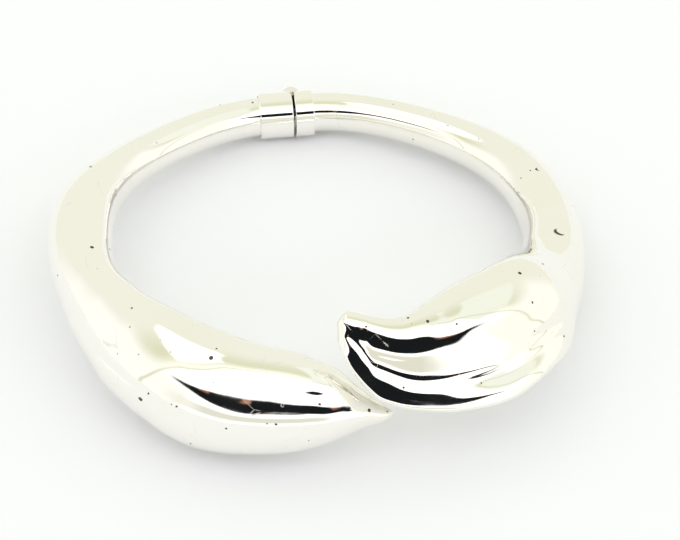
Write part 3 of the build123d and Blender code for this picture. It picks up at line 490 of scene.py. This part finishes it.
def wramp(v, lo, hi, t0=0.0, t1=1.0):
    n = WN("ShaderNodeMapRange"); n.interpolation_type = "SMOOTHSTEP"
    WL(v, n.inputs["Value"])
    n.inputs["From Min"].default_value = lo; n.inputs["From Max"].default_value = hi
    n.inputs["To Min"].default_value = t0; n.inputs["To Max"].default_value = t1
    return n.outputs["Result"]


def wmix(fac, c1, c2):
    n = WN("ShaderNodeMix"); n.data_type = "RGBA"
    WL(fac, n.inputs["Factor"])
    for key, v in (("A", c1), ("B", c2)):
        if isinstance(v, tuple):
            n.inputs[key].default_value = (*v, 1)
        else:
            WL(v, n.inputs[key])
    return n.outputs["Result"]


elev = wmath("MULTIPLY", wmath("ARCSINE", sep.outputs["Z"]), 57.2958)
azim = wmath("MULTIPLY", wmath("ARCTAN2", sep.outputs["X"], wmath("MULTIPLY", sep.outputs["Y"], -1.0)), 57.2958)
# back half pale cream, ceiling and front white
behind = wramp(sep.outputs["Y"], -0.35, 0.05)
cream = wmix(wramp(sep.outputs["Y"], -0.05, 0.50), (0.475, 0.48, 0.355), (0.575, 0.58, 0.515))
col = wmix(behind, (1.0, 1.0, 1.0), cream)
side = wmath("MULTIPLY", wramp(elev, 28, 44, 1.0, 0.0), wmath("MULTIPLY", wramp(wmath("ABSOLUTE", azim), 50, 62), wramp(wmath("ABSOLUTE", azim), 112, 135, 1.0, 0.0)))
col = wmix(side, col, (0.665, 0.67, 0.64))
# a pale grey-green panel high at the right, a paler one at the left
panel = wmath("MULTIPLY", wmath("MULTIPLY", wramp(azim, 66, 70), wramp(azim, 128, 136, 1.0, 0.0)), wmath("MULTIPLY", wramp(elev, 40, 43), wramp(elev, 62, 66, 1.0, 0.0)))
col = wmix(panel, col, (0.60, 0.62, 0.565))
panel = wmath("MULTIPLY", wmath("MULTIPLY", wramp(azim, -150, -144), wramp(azim, -84, -80, 1.0, 0.0)), wmath("MULTIPLY", wramp(elev, 50, 53), wramp(elev, 72, 76, 1.0, 0.0)))
col = wmix(panel, col, (0.80, 0.80, 0.76))
seam = wramp(wmath("ABSOLUTE", wmath("ADD", sep.outputs["Y"], 0.16)), 0.004, 0.016, 0.75, 0.0)
col = wmix(seam, col, (0.42, 0.42, 0.28))
# warm grey below the camera
low = wmath("MULTIPLY", wramp(elev, 20, 31, 1.0, 0.0), wramp(elev, 0, 10))
low = wmath("MULTIPLY", low, wmath("MULTIPLY", wramp(azim, -75, -45), wramp(azim, 15, 45, 1.0, 0.0)))
col = wmix(low, col, (0.50, 0.50, 0.44))
# the camera and its holder: a dark band that thins out to both sides
off = wmath("ABSOLUTE", wmath("ADD", azim, 4.0))
half = wramp(off, 25, 72, 7.2, 0.6)
dist = wmath("ABSOLUTE", wmath("SUBTRACT", elev, wmath("SUBTRACT", 40.0, wmath("MULTIPLY", off, 0.06))))
dark = wramp(wmath("SUBTRACT", dist, half), -0.9, 0.9, 1.0, 0.0)
dark = wmath("MULTIPLY", dark, wramp(off, 62, 72, 1.0, 0.0))
centre_el = wmath("SUBTRACT", 40.0, wmath("MULTIPLY", off, 0.06))
spots = None
for at_, wide in ((-54.0, 6.0), (-26.0, 5.0), (47.0, 9.0)):
    k = wramp(wmath("ABSOLUTE", wmath("SUBTRACT", azim, at_)), wide * 0.4, wide, 1.0, 0.0)
    spots = k if spots is None else wmath("MAXIMUM", spots, k)
spots = wmath("MULTIPLY", spots, wramp(wmath("SUBTRACT", elev, centre_el), 0.8, 3.6))
ink = wmix(spots, (0.006, 0.007, 0.008), (0.30, 0.15, 0.095))
col = wmix(dark, col, ink)
WL(col, bg.inputs["Color"])

AZ, EL, DIST, FPX, CX, CY = -6.73, 43.0, 400.0, 2880.3, 319.5, 284.15
a, e = math.radians(AZ), math.radians(EL)
back = Vector((math.sin(a) * math.cos(e), -math.cos(a) * math.cos(e), math.sin(e)))
rightv = Vector((math.cos(a), math.sin(a), 0))
upv = back.cross(rightv)
cam_d = bpy.data.cameras.new("camera")
cam = bpy.data.objects.new("camera", cam_d)
bpy.context.scene.collection.objects.link(cam)
target = Vector((SHX, SHY, SHZ)) * MM
rot = Matrix((rightv, upv, back)).transposed()
cam.matrix_world = Matrix.Translation(target + back * DIST * MM) @ rot.to_4x4()
cam_d.sensor_width = 36
cam_d.lens = FPX / 680 * 36
cam_d.shift_x = (340 - CX) / 680
cam_d.shift_y = (CY - 270) / 680
cam_d.clip_start = 0.01
bpy.context.scene.camera = cam

bpy.context.scene.view_settings.view_transform = "Standard"
